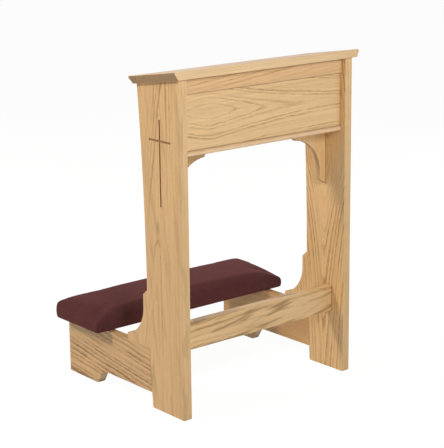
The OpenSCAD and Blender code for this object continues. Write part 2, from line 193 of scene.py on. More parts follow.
def new_group(name, inputs, outputs):
    tree = bpy.data.node_groups.new(name, "ShaderNodeTree")
    for label, kind, value in inputs:
        socket = tree.interface.new_socket(name=label, in_out="INPUT", socket_type=kind)
        if value is not None:
            socket.default_value = value
    for label, kind in outputs:
        tree.interface.new_socket(name=label, in_out="OUTPUT", socket_type=kind)
    graph = Graph(tree)
    return graph, graph.node("NodeGroupInput").outputs, graph.node("NodeGroupOutput").inputs


def new_material(name):
    material = bpy.data.materials.new(name)
    material.use_nodes = True
    graph = Graph(material.node_tree)
    shader = next(node for node in material.node_tree.nodes if node.type == "BSDF_PRINCIPLED")
    return material, graph, shader


def srgb(red, green, blue):
    """A colour given as it looks on a screen, from 0 to 255."""
    def linear(value):
        value /= 255
        return value / 12.92 if value <= 0.04045 else ((value + 0.055) / 1.055) ** 2.4
    return (linear(red), linear(green), linear(blue), 1.0)


def shaded(colour, factor):
    """A colour made darker, or lighter as far as white."""
    return tuple(min(factor * part, 1.0) for part in colour[:3]) + (1.0,)


# Oak

OAK_PALE = srgb(224, 187, 133)
OAK_LINE = srgb(172, 130, 80)
OAK_WARM_LINE = srgb(184, 138, 86)
OAK_PORE = srgb(132, 92, 52)
# End grain: darker than the wood's own end grain, partly painted shade for end faces turned from the light
OAK_END_GRAIN_AND_PAINTED_SHADE = srgb(132, 103, 69)
OAK_STREAK = srgb(153, 118, 70)
# Painted shade in the corners where boards meet
OAK_PAINTED_CORNER_SHADE = srgb(140, 100, 62)

# How many times in a metre each unevenness of the oak changes, along the grain and across it
SLOW_WANDER = (2.2, 7)
FINE_WANDER = (9, 34)
JAGS = (38, 190)
PATCHES = (6, 26)
DASHES = (60, 380)
PORES = (95, 1500)
FIBRES = (25, 620)
THREADS = (4, 170)
TONES = (1.6, 11)
STREAKS = (6, 58)
FINE_WANDER_SHARE = 0.45

# Values of the noise at which each of these starts to show, and shows in full
WEAK_YEARS_SHOW = (0.62, 0.40)
PATCHES_SHOW = (0.34, 0.60)
DASHES_SHOW = (0.18, 0.60)
PORES_SHOW = (0.56, 0.70)
STREAKS_SHOW = (0.52, 0.66)
STREAK_LEAN = -0.14

# The way that a seed moves the pattern, so that no two boards show the same part of it
SEED_WAY = (1.0, 0.7, 1.3)

# Years vary in width and in strength. The paces say how quickly from one to the next, and the swing says by
# how many rings the count wanders.
YEAR_PACE = 0.55
YEAR_SWING = 0.9
STRENGTH_PACE = 0.83

# The part of a year by which its early wood is at its full, and the part from which it fades
EARLY_FULL = 0.16
EARLY_FADES = 0.14
EDGE_FADE = 0.85

# Between the patches a line keeps the least strength. Past Reach it fades, until REACH_END times as far, and
# the lift comes last.
LEAST_PATCH = 0.25
REACH_END = 1.6
REACH_FADE = 0.8
LINE_LIFT = 1.3

# How dense the pores are: what the early wood adds, and what there is everywhere
EARLY_PORES, LATE_PORES = 0.75, 0.12

# The knot: its stretch along the grain, how steeply it fades, how far it bends the rings, and where it shows
KNOT_STRETCH = 0.3
KNOT_FALL = -150.0
KNOT_SWELL = 3.0
KNOT_SHOWS = (0.001, 0.006)

KNOT_DARKNESS = 0.6
PORE_DARKNESS = 0.55
END_DARKNESS = 0.75

# How strongly tone, fibres and threads lighten and darken the wood, and how that changes green and blue
TONE_SWING, FIBRE_SWING, THREAD_SWING = 0.09, 0.12, 0.17
GREEN_POWER, BLUE_POWER = 1.15, 1.5

OAK_ROUGHNESS, LINE_ROUGHNESS, END_ROUGHNESS = 0.42, 0.16, 0.2
LINE_HEIGHT, PORE_HEIGHT = -0.35, -1.0


def knot_nearness(graph, given, along, across):
    """1 at the knot and almost nothing 3 cm off, with a longer reach along the grain."""
    from_knot = graph.point(
        graph.times(graph.minus(along, given["Knot along"]), KNOT_STRETCH),
        graph.minus(across, given["Knot across"]))
    return graph.math("EXPONENT", graph.times(graph.vector("LENGTH", from_knot), KNOT_FALL))


def side_of_heart(graph, given, place, along, across):
    """How far across the face a point lies from the tree's heart, which may slope and wanders slowly."""
    slow = graph.grain_noise(place, SLOW_WANDER, detail=1.5)
    heart = graph.plus(given["Heart across"], graph.times(along, given["Heart slope"]))
    return graph.plus(graph.minus(across, heart), graph.swing(slow, given["Wander"]))


def growth_from_heart(graph, given, place, along, side, deep, knot):
    """How much wood lies between the tree's heart and a point. The tree narrows along the board, so its
    rings show as nested arches on a flat face."""
    radius = graph.slanted_length(side, graph.plus(deep, given["Heart depth"]))
    run = graph.minus(along, given["Cone middle"])
    slowing = graph.plus(1.0, graph.times(graph.size_of(run), given["Flattening"]))
    run = graph.math("DIVIDE", run, slowing)
    cone = graph.times(graph.slanted_length(run, given["Cone rounding"]), given["Cone"])
    growth = graph.plus(radius, cone)
    middling = graph.grain_noise(place, FINE_WANDER, detail=2)
    growth = graph.plus(growth, graph.swing(middling, graph.times(given["Wander"], FINE_WANDER_SHARE)))
    quick = graph.grain_noise(place, JAGS, detail=2)
    growth = graph.plus(growth, graph.swing(quick, given["Jag"]))
    return graph.plus(growth, graph.times(knot, graph.times(given["Knot size"], KNOT_SWELL)))


def count_rings(graph, given, growth):
    """Rings counted from the heart, some years wider than others."""
    rings = graph.math("DIVIDE", growth, given["Ring width"])
    uneven = graph.noise(graph.point(rings, given["Seed"]), scale=YEAR_PACE, detail=1)
    return graph.plus(rings, graph.swing(uneven, YEAR_SWING))


def early_wood(graph, given, rings):
    """The dark open wood that starts each year and fades by the part of it that Band gives."""
    year = graph.math("FRACT", rings)
    begun = graph.between(year, 0.0, EARLY_FULL)
    left = graph.less(graph.between(year, EARLY_FADES, given["Band"]))
    return graph.times(graph.times(begun, left), graph.less(given["Edge share"], EDGE_FADE))


def strength_of_lines(graph, given, place, rings, side):
    """How strongly the early wood shows: weak in some years, in patches and dashes, faint past Reach."""
    ring_number = graph.point(graph.math("FLOOR", rings), given["Seed"])
    weak = graph.between(graph.noise(ring_number, scale=STRENGTH_PACE, detail=0), *WEAK_YEARS_SHOW)
    strength = graph.less(weak, given["Unevenness"])
    patch = graph.between(graph.grain_noise(place, PATCHES, detail=1.5), *PATCHES_SHOW)
    strength = graph.times(strength, graph.plus(graph.times(patch, 1 - LEAST_PATCH), LEAST_PATCH))
    dashes = graph.between(graph.grain_noise(place, DASHES, detail=2), *DASHES_SHOW)
    strength = graph.times(strength, dashes)
    strength = graph.times(strength, given["Line strength"])
    faintest = graph.times(given["Reach"], REACH_END)
    beyond = graph.between(graph.size_of(side), given["Reach"], faintest)
    return graph.times(strength, graph.less(beyond, REACH_FADE))


def figure_colour(graph, given, place, line, pores, knot):
    """Pale wood with its lines, streaks, knot and pores."""
    colour = graph.mix(line, given["Pale"], given["Line"])
    leaning = graph.turned(place, (0, 0, STREAK_LEAN))
    streak = graph.between(graph.grain_noise(leaning, STREAKS, detail=3.5), *STREAKS_SHOW)
    colour = graph.mix(graph.times(streak, given["Streaks"]), colour, OAK_STREAK)
    heartwood = graph.between(graph.times(knot, given["Knot size"]), *KNOT_SHOWS)
    colour = graph.mix(graph.times(heartwood, KNOT_DARKNESS), colour, OAK_PORE)
    return graph.mix(graph.times(pores, PORE_DARKNESS), colour, OAK_PORE)


def fibre_tint(graph, given, place):
    """The lightness of the wood from fibre to fibre, with edge grain a little darker on every board and much
    darker on the brackets as painted shade. What is darker is also a little redder.
    """
    tone = graph.grain_noise(place, TONES, detail=2)
    fibre = graph.grain_noise(place, FIBRES, detail=3, roughness=0.6)
    threads = graph.grain_noise(place, THREADS, detail=2.5, roughness=0.6)
    shade = graph.plus(graph.swing(tone, TONE_SWING), graph.swing(fibre, FIBRE_SWING))
    shade = graph.plus(shade, graph.swing(threads, THREAD_SWING))
    shade = graph.plus(shade, graph.less(given["Edge share"], given["Edge shade"]))
    tint = graph.node("ShaderNodeCombineColor")
    graph.feed(tint.inputs[0], shade)
    graph.feed(tint.inputs[1], graph.math("POWER", shade, GREEN_POWER))
    graph.feed(tint.inputs[2], graph.math("POWER", shade, BLUE_POWER))
    return tint.outputs[0]


def make_oak_figure():
    """Growth rings of a plain-sawn board. x runs along the grain, y across the face, z into the board."""
    graph, given, put = new_group(
        "oak figure",
        [
            ("Place", VECTOR, None), ("Seed", FLOAT, 0.0),
            ("Heart across", FLOAT, 0.0), ("Heart depth", FLOAT, 0.05), ("Heart slope", FLOAT, 0.0),
            ("Cone", FLOAT, 0.1), ("Cone middle", FLOAT, 0.0), ("Cone rounding", FLOAT, 0.02),
            ("Ring width", FLOAT, 0.008), ("Wander", FLOAT, 0.004), ("Jag", FLOAT, 0.001),
            ("Knot along", FLOAT, 0.0), ("Knot across", FLOAT, 0.0), ("Knot size", FLOAT, 0.0),
            ("Flattening", FLOAT, 0.0), ("Band", FLOAT, 0.5), ("Unevenness", FLOAT, 0.7),
            ("Streaks", FLOAT, 0.0), ("Line strength", FLOAT, 0.6), ("Reach", FLOAT, 1.0),
            ("Pale", COLOUR, OAK_PALE), ("Line", COLOUR, OAK_LINE), ("End share", FLOAT, 0.0),
            # Edge tone and painted shade darkens edge grain: a little on every board, and on the brackets as
            # painted shade
            ("Edge share", FLOAT, 0.0), ("Edge shade", FLOAT, 0.06),
        ],
        [("Colour", COLOUR), ("Roughness", FLOAT), ("Height", FLOAT)],
    )
    seed_move = graph.point(*(graph.times(given["Seed"], part) for part in SEED_WAY))
    place = graph.vector("ADD", given["Place"], seed_move)
    own = graph.node("ShaderNodeSeparateXYZ")
    graph.feed(own.inputs[0], given["Place"])
    along, across, deep = own.outputs

    knot = knot_nearness(graph, given, along, across)
    side = side_of_heart(graph, given, place, along, across)
    growth = growth_from_heart(graph, given, place, along, side, deep, knot)
    rings = count_rings(graph, given, growth)
    early = early_wood(graph, given, rings)
    strength = strength_of_lines(graph, given, place, rings, side)
    line = graph.math("MULTIPLY", early, graph.times(strength, LINE_LIFT), clamp=True)
    pores = graph.between(graph.grain_noise(place, PORES, detail=2.5), *PORES_SHOW)
    pores = graph.times(pores, graph.plus(graph.times(early, EARLY_PORES), LATE_PORES))

    colour = figure_colour(graph, given, place, line, pores, knot)
    colour = graph.mix(1.0, colour, fibre_tint(graph, given, place), blend="MULTIPLY")
    # End grain: its own darker colour, and partly painted shade
    colour = graph.mix(graph.times(given["End share"], END_DARKNESS), colour, OAK_END_GRAIN_AND_PAINTED_SHADE)
    graph.feed(put["Colour"], colour)
    rough = graph.plus(OAK_ROUGHNESS, graph.times(line, LINE_ROUGHNESS))
    graph.feed(put["Roughness"], graph.plus(rough, graph.times(given["End share"], END_ROUGHNESS)))
    height = graph.plus(graph.times(line, LINE_HEIGHT), graph.times(pores, PORE_HEIGHT))
    graph.feed(put["Height"], height)
    return graph.tree


OAK_FIGURE = make_oak_figure()

# How squarely a face has to look along the grain to be end grain, and across the face to be edge grain
# The end grain range reaches slanted faces such as the runners' foot ends, where its darker colour is partly
# painted shade
END_GRAIN = (0.62, 0.86)
EDGE_GRAIN = (0.6, 0.9)

# How far from a corner the painted shade starts to thin out, where it ends, and how strongly it shows
CORNER_SHADE_START, CORNER_SHADE_END = 1.2 * MM, 4.5 * MM
CORNER_SHADE_SHARE = 0.6


def turn_to(grain, across):
    """The Euler turn that lays a board's grain along x and the way across its face along y."""
    deep = grain.cross(across)
    return Matrix((grain, across, deep)).to_euler("XYZ")


def oak(name, grain, across, middle=(0, 0, 0), corners=(), **figure):
    """Lacquered oak. middle is the point of the board that its figure is measured from. corners are the
    planes, each a direction and a distance, where the board meets another board and painted shade darkens
    it."""
    material, graph, shader = new_material(name)
    where = graph.node("ShaderNodeTexCoord")
    centred = graph.vector("SUBTRACT", where.outputs["Object"], tuple(middle))
    endways = graph.size_of(graph.vector("DOT_PRODUCT", where.outputs["Normal"], tuple(grain)))
    sideways = graph.size_of(graph.vector("DOT_PRODUCT", where.outputs["Normal"], tuple(across)))
    group = graph.node("ShaderNodeGroup", node_tree=OAK_FIGURE)
    graph.feed(group.inputs["Place"], graph.turned(centred, turn_to(grain, across)))
    graph.feed(group.inputs["Edge share"], graph.between(sideways, *EDGE_GRAIN))
    graph.feed(group.inputs["End share"], graph.between(endways, *END_GRAIN))
    for label, value in figure.items():
        group.inputs[label.replace("_", " ").capitalize()].default_value = value
    colour = group.outputs["Colour"]
    # Painted shade: the colour darkens close to each corner plane, where shade falls between boards
    for direction, distance in corners:
        gap = graph.minus(graph.vector("DOT_PRODUCT", where.outputs["Object"], direction), distance)
        near = graph.less(graph.between(graph.size_of(gap), CORNER_SHADE_START, CORNER_SHADE_END))
        colour = graph.mix(graph.times(near, CORNER_SHADE_SHARE), colour, OAK_PAINTED_CORNER_SHADE)
    graph.feed(shader.inputs["Base Color"], colour)
    graph.feed(shader.inputs["Roughness"], group.outputs["Roughness"])
    graph.raise_surface(shader, group.outputs["Height"], strength=0.35, depth=0.12 * MM)
    shader.inputs["Specular IOR Level"].default_value = 0.4
    shader.inputs["Coat Weight"].default_value = 0.12
    shader.inputs["Coat Roughness"].default_value = 0.3
    return material


# Boards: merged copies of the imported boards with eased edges

SAME_POINT = 0.005 * MM
SAME_FACE = math.radians(0.5)
EASE_ANGLE = math.radians(30)
SHORTEST_EDGE = 2.2 * MM
COMMON_EASE = 1.2 * MM
BOARD_SMOOTHING = math.radians(40)


def is_eased(edge):
    """Whether an edge is an outer corner of the board, and long enough to be eased."""
    if len(edge.link_faces) != 2 or not edge.is_convex:
        return False
    return edge.calc_face_angle() > EASE_ANGLE and edge.calc_length() > SHORTEST_EDGE


def eased_board(node, material, ease=COMMON_EASE):
    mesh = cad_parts[node].data.copy()
    board = bpy.data.objects.new(node + "_board", mesh)
    bpy.context.scene.collection.objects.link(board)
    mesh.materials.clear()
    mesh.materials.append(material)
    work = bmesh.new()
    work.from_mesh(mesh)
    bmesh.ops.remove_doubles(work, verts=work.verts, dist=SAME_POINT)
    bmesh.ops.dissolve_limit(work, angle_limit=SAME_FACE, verts=work.verts, edges=work.edges)
    weights = work.edges.layers.float.new("bevel_weight_edge")
    for edge in work.edges:
        if is_eased(edge):
            edge[weights] = 1.0
    work.to_mesh(mesh)
    work.free()
    bevel = board.modifiers.new("eased edges", "BEVEL")
    bevel.limit_method = "WEIGHT"
    bevel.width = ease
    bevel.segments = 3
    bevel.harden_normals = False
    apply_modifiers(board)
    smooth(board, BOARD_SMOOTHING)
    flat = board.modifiers.new("flat faces stay flat", "WEIGHTED_NORMAL")
    flat.weight = 100
    flat.keep_sharp = True
    apply_modifiers(board)
    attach(board, "root")
    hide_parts(node)
    return board


# x of the left upright's outer face and of the right upright's inner face, and how far the middle of the
# whole part lies behind the uprights' front edges
LEFT_FACE = -0.300
INNER_FACE = 0.2755
MIDDLE_BEHIND_FRONT = 260.56 * MM


def y_from_front(distance):
    """The y of a point that lies so many millimetres behind the front edge."""
    return distance * MM - MIDDLE_BEHIND_FRONT


# Corners where a board meets the two uprights, darkened there by painted shade
END_SHADED_CORNERS = ((LENGTHWAYS, -INNER_FACE), (LENGTHWAYS, INNER_FACE))

# The routed cross on an upright's outer face, each stroke by its middle y and z, half width and half height
CROSS_LINE = y_from_front(83.5)
CROSS_STROKES = ((CROSS_LINE, 0.6755, 2.5 * MM, 113.5 * MM), (CROSS_LINE, 0.734, 44.5 * MM, 2.5 * MM))
CROSS_MARGIN = 0.2 * MM

# The groove's faces have their middles between these distances from the middle plane between the uprights
GROOVE_BOTTOM, GROOVE_TOP = 0.297, 0.2994


def is_in_groove(x, y, z):
    on_stroke = any(
        abs(y - middle_y) < half_width + CROSS_MARGIN and abs(z - middle_z) < half_height + CROSS_MARGIN
        for middle_y, middle_z, half_width, half_height in CROSS_STROKES)
    return on_stroke and GROOVE_BOTTOM < abs(x) < GROOVE_TOP


def paint_groove_shade(upright, painted_groove_shade):
    """Gives the faces inside the routed cross a darker colour, which is painted shade for the groove."""
    upright.data.materials.append(painted_groove_shade)
    for face in upright.data.polygons:
        if is_in_groove(*face.center):
            face.material_index = 1


def make_uprights():
    left = eased_board("left_upright", oak(
        "oak left upright", UPWARDS, FRONT_TO_BACK, middle=(LEFT_FACE, y_from_front(0), 0), seed=1.7,
        heart_across=0.140, heart_depth=0.010, heart_slope=-0.085, cone=0.08, cone_middle=-0.4,
        cone_rounding=0.02, reach=0.030, ring_width=0.0115, wander=0.009, jag=0.0016, band=0.6,
        unevenness=1.0, knot_along=0.505, knot_across=0.0985, knot_size=0.006, streaks=0.25,
        pale=srgb(221, 183, 130), line_strength=0.8))
    right = eased_board("right_upright", oak(
        "oak right upright", UPWARDS, FRONT_TO_BACK, middle=(INNER_FACE, y_from_front(0), 0), seed=4.1,
        heart_across=0.080, heart_depth=0.012, cone=0.75, cone_middle=0.62, flattening=4.0,
        cone_rounding=0.06, ring_width=0.012, wander=0.005, jag=0.0016, band=0.65, unevenness=0.6,
        pale=srgb(225, 187, 133), line_strength=0.9))
    # Darker oak inside the routed cross: painted shade in the groove
    painted_groove_shade = oak(
        "oak with painted groove shade", UPWARDS, FRONT_TO_BACK, seed=3.0, pale=srgb(166, 120, 76), line=srgb(130, 90, 52))
    paint_groove_shade(left, painted_groove_shade)
    paint_groove_shade(right, painted_groove_shade)


def make_runners():
    eased_board("left_runner", oak(
        "oak left runner", FRONT_TO_BACK, UPWARDS, middle=(LEFT_FACE, 0.05, 0.09), seed=6.3,
        heart_across=-0.20, heart_depth=0.05, heart_slope=0.13, cone=0.02, cone_middle=0.3,
        ring_width=0.0145, wander=0.010, jag=0.003, band=0.85, unevenness=0.4,
        pale=srgb(214, 176, 123), line=srgb(136, 98, 58), line_strength=1.0))
    eased_board("right_runner", oak(
        "oak right runner", FRONT_TO_BACK, UPWARDS, middle=(INNER_FACE, y_from_front(165), 0.075), seed=9.9,
        heart_across=0.0, heart_depth=0.02, cone=0.12, cone_middle=-0.3, ring_width=0.010, wander=0.006,
        pale=srgb(205, 164, 110), line=OAK_WARM_LINE, line_strength=0.75))


def make_book_space():
    eased_board("top_board", oak(
        "oak book rest", LENGTHWAYS, FRONT_TO_BACK, middle=(0, y_from_front(80), 0.9), seed=2.9,
        heart_across=0.02, heart_depth=0.03, cone=0.07, cone_middle=-0.5, ring_width=0.012,
        pale=srgb(233, 198, 149), line_strength=0.8))
    eased_board("upper_rail", oak(
        "oak rail", LENGTHWAYS, UPWARDS, middle=(0, y_from_front(13), 0.88), seed=7.7,
        corners=END_SHADED_CORNERS + ((UPWARDS, 0.896),),
        heart_across=0.04, heart_depth=0.02, cone=0.10, cone_middle=-0.5, ring_width=0.010, wander=0.004,
        pale=srgb(216, 176, 124), line=OAK_WARM_LINE, line_strength=0.75), ease=0.8 * MM)
    eased_board("front_panel", oak(
        "oak front panel", LENGTHWAYS, UPWARDS, middle=(-0.190, y_from_front(19), 0.807), seed=0.4,
        corners=END_SHADED_CORNERS + ((UPWARDS, 0.858), (UPWARDS, 0.7105)),
        heart_across=0.0, heart_depth=0.010, heart_slope=-0.05, cone=0.38, cone_middle=0.0,
        cone_rounding=0.045, flattening=4.0, ring_width=0.0088, wander=0.007, jag=0.0022, band=0.75,
        unevenness=0.9, line_strength=0.75), ease=0.6 * MM)
    eased_board("book_shelf", oak(
        "oak shelf", LENGTHWAYS, FRONT_TO_BACK, middle=(0, y_from_front(80), 0.71), seed=5.2,
        corners=END_SHADED_CORNERS, heart_across=0.05, heart_depth=0.06, ring_width=0.010,
        pale=srgb(232, 198, 154), line=OAK_WARM_LINE, line_strength=0.4), ease=3.5 * MM)


def make_bracket_and_strips(side, sign, bracket_pale_and_painted_shade):
    # The brackets' concave edges lie in shade, which their 0.3 edge darkening paints into the colour
    eased_board(side + "_bracket", oak(
        "oak " + side + " bracket", UPWARDS, LENGTHWAYS, middle=(0.2 * sign, y_from_front(75), 0.62),
        seed=3.3 + sign, corners=((LENGTHWAYS, INNER_FACE * sign),), heart_across=0.03, heart_depth=0.05,
        ring_width=0.010, pale=bracket_pale_and_painted_shade, line_strength=0.45, edge_shade=0.3))
    for strip in ("batten", "cleat"):
        eased_board(side + "_" + strip, oak(
            "oak " + side + " " + strip, FRONT_TO_BACK, UPWARDS, seed=8 + sign,
            heart_depth=0.08, ring_width=0.008, line_strength=0.4), ease=0.8 * MM)


def make_stretcher():
    eased_board("stretcher", oak(
        "oak stretcher", LENGTHWAYS, UPWARDS, middle=(0, y_from_front(46), 0.21), seed=11.6,
        corners=END_SHADED_CORNERS, heart_across=-0.03, heart_depth=0.02, heart_slope=0.14, cone=0.08,
        cone_middle=-0.5, ring_width=0.019, wander=0.014, jag=0.0025, band=0.6, unevenness=0.7,
        streaks=0.85, line_strength=0.8))


make_uprights()
make_runners()
make_book_space()
# The left bracket's darker pale is painted shade, for the shadow that the left upright and the shelf cast on
# it
make_bracket_and_strips("left", -1, srgb(198, 160, 110))
make_bracket_and_strips("right", 1, OAK_PALE)
make_stretcher()


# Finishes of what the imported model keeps

# How many times in a metre the fibres of beech and plywood change, along x and across it
PLAIN_FIBRES = (18, 420)


def make_plain_wood(name, colour):
    material, graph, shader = new_material(name)
    fibre = graph.grain_noise(graph.object_place(), PLAIN_FIBRES, detail=3)
    graph.feed(shader.inputs["Base Color"], graph.mix(fibre, shaded(colour, 0.8), shaded(colour, 1.12)))
    graph.feed(shader.inputs["Roughness"], graph.plus(0.55, graph.times(fibre, 0.15)))
    return material


def make_zinc():
    material, graph, shader = new_material("zinc plated steel")
    haze = graph.noise(graph.object_place(), scale=600, detail=3)
    graph.feed(shader.inputs["Base Color"], graph.mix(haze, srgb(186, 188, 190), srgb(214, 214, 210)))
    graph.feed(shader.inputs["Roughness"], graph.plus(0.28, graph.times(haze, 0.18)))
    shader.inputs["Metallic"].default_value = 1.0
    return material


def make_dust_cloth():
    material, graph, shader = new_material("black dust cloth")
    web = graph.noise(graph.object_place(), scale=1400, detail=2)
    graph.feed(shader.inputs["Base Color"], graph.mix(web, srgb(20, 20, 22), srgb(44, 44, 47)))
    graph.feed(shader.inputs["Roughness"], graph.plus(0.85, graph.times(web, 0.1)))
    graph.raise_surface(shader, web, strength=0.4, depth=0.2 * MM)
    return material


def make_foam():
    material, graph, shader = new_material("foam")
    cells = graph.noise(graph.object_place(), scale=900, detail=2)
    graph.feed(shader.inputs["Base Color"], graph.mix(cells, srgb(214, 202, 166), srgb(236, 226, 196)))
    shader.inputs["Roughness"].default_value = 0.95
    return material


def finish_nodes(finish, *nodes):
    for node in nodes:
        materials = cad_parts[node].data.materials
        materials.clear()
        materials.append(finish)


finish_nodes(
    make_plain_wood("beech", srgb(222, 192, 150)),
    "stretcher_dowels", "runner_dowels", "panel_dowels", "shelf_dowels", "bracket_dowels")
finish_nodes(make_plain_wood("plywood", srgb(206, 178, 134)), "kneeler_board")
finish_nodes(make_dust_cloth(), "dust_cover")
finish_nodes(make_foam(), "kneeler_foam")
finish_nodes(
    make_zinc(), "batten_screws", "top_screws", "cleat_screws", "pad_screws", "cover_staples")


# Kneeling pad

PAD_LOW, PAD_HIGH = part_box("kneeler_cover")
PAD_MIDDLE = (PAD_LOW + PAD_HIGH) / 2
PAD_HALF = (PAD_HIGH - PAD_LOW) / 2
BASE_LOW, BASE_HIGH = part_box("kneeler_board")

# The block that the pad starts from: its height, and how far it stays inside the cover's box
BLOCK_HEIGHT = 57 * MM
BLOCK_INSET = 0.6 * MM
CORNER_ROUNDING = 5 * MM
TOP_ROUNDING = 10 * MM
LOWER_ROUNDING = 5 * MM
VOXEL = 4.5 * MM

# An edge that rises by more than the first is upright, and one within the second of a face lies on it
UPRIGHT_RISE = 20 * MM
ON_FACE = 1 * MM

# Heights of the stuffing in millimetres: at its highest, and how far it falls towards each place
HIGHEST = 62
END_FALL = 8
ROUND_FALL = 1.5
FRONT_FALL = 3
FRONT_CORNER_FALL = 18

# How many millimetres the sides swell out at half height, in x and in y
END_SWELL = 3
LONG_SIDE_SWELL = 2

# Heights over the pad's underside: the cover is held up to the first and stays crisp up to the second, and
# over the third it passes from crisp to soft
HELD_HEIGHT = 7 * MM
CRISP_HEIGHT = 14 * MM
SOFTENING_HEIGHT = 16 * MM

# How much the folded corners are spared when the cover is evened out and when it swells
SPARED_EVENING = 0.9
SPARED_SWELLING = 0.8

FOAM_PRESSURE = 4.0
FARTHEST_SWELL = 5 * MM
LAST_FRAME = 20

# Free room round the base, the width of the cover's hem under it, and how far a cut starts below the pad
BASE_ROOM = 0.3 * MM
HEM = 24 * MM
CUT_START = 3 * MM
PAD_SMOOTHING = math.radians(50)


def make_burgundy():
    material, graph, shader = new_material("burgundy upholstery")
    where = graph.object_place()
    mottle = graph.noise(where, scale=42, detail=3, roughness=0.6)
    tuft = graph.noise(where, scale=780, detail=3, roughness=0.6)
    colour = graph.mix(mottle, srgb(70, 42, 44), srgb(95, 52, 52))
    colour = graph.mix(graph.times(graph.between(tuft, 0.4, 0.7), 0.35), colour, srgb(112, 69, 70))
    graph.feed(shader.inputs["Base Color"], colour)
    graph.raise_surface(shader, tuft, strength=0.6, depth=0.5 * MM)
    shader.inputs["Roughness"].default_value = 1.0
    shader.inputs["Specular IOR Level"].default_value = 0.15
    shader.inputs["Sheen Weight"].default_value = 0.2
    shader.inputs["Sheen Roughness"].default_value = 0.5
    shader.inputs["Sheen Tint"].default_value = srgb(206, 130, 126)
    return material


def block(name, low, high):
    """A block between two corners, as a start to shape or to cut with."""
    deselect_all()
    bpy.ops.mesh.primitive_cube_add(size=1, location=(low + high) / 2)
    piece = bpy.context.object
    piece.name = name
    piece.scale = high - low
    bpy.ops.object.transform_apply(location=True, rotation=True, scale=True)
    return piece


def round_edges(piece, wanted, width, segments):
    """Bevels the edges for whose two end points wanted says yes."""
    select_only(piece)
    bpy.ops.object.mode_set(mode="EDIT")
    bpy.ops.mesh.select_all(action="DESELECT")
    bpy.ops.object.mode_set(mode="OBJECT")
    bpy.context.tool_settings.mesh_select_mode = (False, True, False)
    for edge in piece.data.edges:
        first, second = (piece.data.vertices[end].co for end in edge.vertices)
        edge.select = bool(wanted(first, second))
    bpy.ops.object.mode_set(mode="EDIT")
    bpy.ops.mesh.bevel(offset=width, segments=segments, affect="EDGES")
    bpy.ops.object.mode_set(mode="OBJECT")
    piece.select_set(False)


def place_on_pad(x, y):
    """How far a point lies from the pad's middle, as a share of its half size: towards either end, from 0
    to 1, and towards the front, from -1 at the back to 1."""
    return abs(x - PAD_MIDDLE.x) / PAD_HALF.x, (PAD_MIDDLE.y - y) / PAD_HALF.y


def corner_share(x, y):
    """1 at the four upright corners, where the cover is folded, and almost nothing a little way off."""
    side, depth = place_on_pad(x, y)
    return min(side ** 20 * abs(depth) ** 6, 1.0)


def stuffed_height(x, y):
    """How high the top stands over the pad's underside: lower at both ends, lowest at the front corners."""
    side, depth = place_on_pad(x, y)
    front = max(0.0, (depth + 1) / 2)
    height = HIGHEST - END_FALL * side ** 2.4 - ROUND_FALL * depth ** 2 - FRONT_FALL * front ** 2
    return (height - FRONT_CORNER_FALL * side ** 7 * front ** 2.2) * MM


def let_top_follow(piece):
    """Moves the flat top, and what lies under it in proportion, to the height of the stuffing, and lets the
    sides swell out a little between the base and the top."""
    for vertex in piece.data.vertices:
        share = (vertex.co.z - PAD_LOW.z) / BLOCK_HEIGHT
        vertex.co.z = PAD_LOW.z + share * stuffed_height(vertex.co.x, vertex.co.y)
        swell = 4 * share * (1 - share)
        vertex.co.x += (vertex.co.x - PAD_MIDDLE.x) / PAD_HALF.x * swell * END_SWELL * MM
        vertex.co.y += (vertex.co.y - PAD_MIDDLE.y) / PAD_HALF.y * swell * LONG_SIDE_SWELL * MM


def soften(piece, turns):
    """Evens out the upper part, which has no sharp edges. The lower edge and the corners stay crisp."""
    upper = piece.vertex_groups.new(name="upper part")
    for vertex in piece.data.vertices:
        share = (vertex.co.z - PAD_LOW.z - CRISP_HEIGHT) / SOFTENING_HEIGHT
        folded = corner_share(vertex.co.x, vertex.co.y)
        upper.add([vertex.index], min(max(share, 0.0), 1.0) * (1 - SPARED_EVENING * folded), "REPLACE")
    evening = piece.modifiers.new("evening", "SMOOTH")
    evening.factor = 0.5
    evening.iterations = turns
    evening.vertex_group = upper.name
    apply_modifiers(piece)
    piece.vertex_groups.clear()


def fill_with_foam(piece):
    """Swells the cover like foam under stretched fabric. It is held along its lower edge."""
    start = [vertex.co.copy() for vertex in piece.data.vertices]
    held = piece.vertex_groups.new(name="held below")
    lower = [vertex.index for vertex in piece.data.vertices if vertex.co.z < PAD_LOW.z + HELD_HEIGHT]
    held.add(lower, 1.0, "REPLACE")
    cloth = piece.modifiers.new("cover", "CLOTH")
    cloth.settings.use_pressure = True
    cloth.settings.uniform_pressure_force = FOAM_PRESSURE
    cloth.settings.vertex_group_mass = held.name
    cloth.settings.bending_stiffness = 8
    cloth.settings.effector_weights.gravity = 0
    cloth.point_cache.frame_start = 1
    cloth.point_cache.frame_end = LAST_FRAME
    for step in range(1, LAST_FRAME + 1):
        bpy.context.scene.frame_set(step)
    swollen = piece.evaluated_get(bpy.context.evaluated_depsgraph_get()).data
    moved = [vertex.co.copy() for vertex in swollen.vertices]
    piece.modifiers.remove(cloth)
    piece.vertex_groups.clear()
    for vertex, was, now in zip(piece.data.vertices, start, moved):
        way = (now - was) * (1 - SPARED_SWELLING * corner_share(was.x, was.y))
        if way.length >= FARTHEST_SWELL:
            way = way * (FARTHEST_SWELL / way.length)
        vertex.co = was + way
    bpy.context.scene.frame_set(1)


def hollow_for(piece, low, high):
    """Cuts out the room between two corners."""
    cutter = block("cutter", low, high)
    cutting = piece.modifiers.new("recess", "BOOLEAN")
    cutting.operation = "DIFFERENCE"
    cutting.solver = "EXACT"
    cutting.object = cutter
    apply_modifiers(piece)
    bpy.data.objects.remove(cutter)


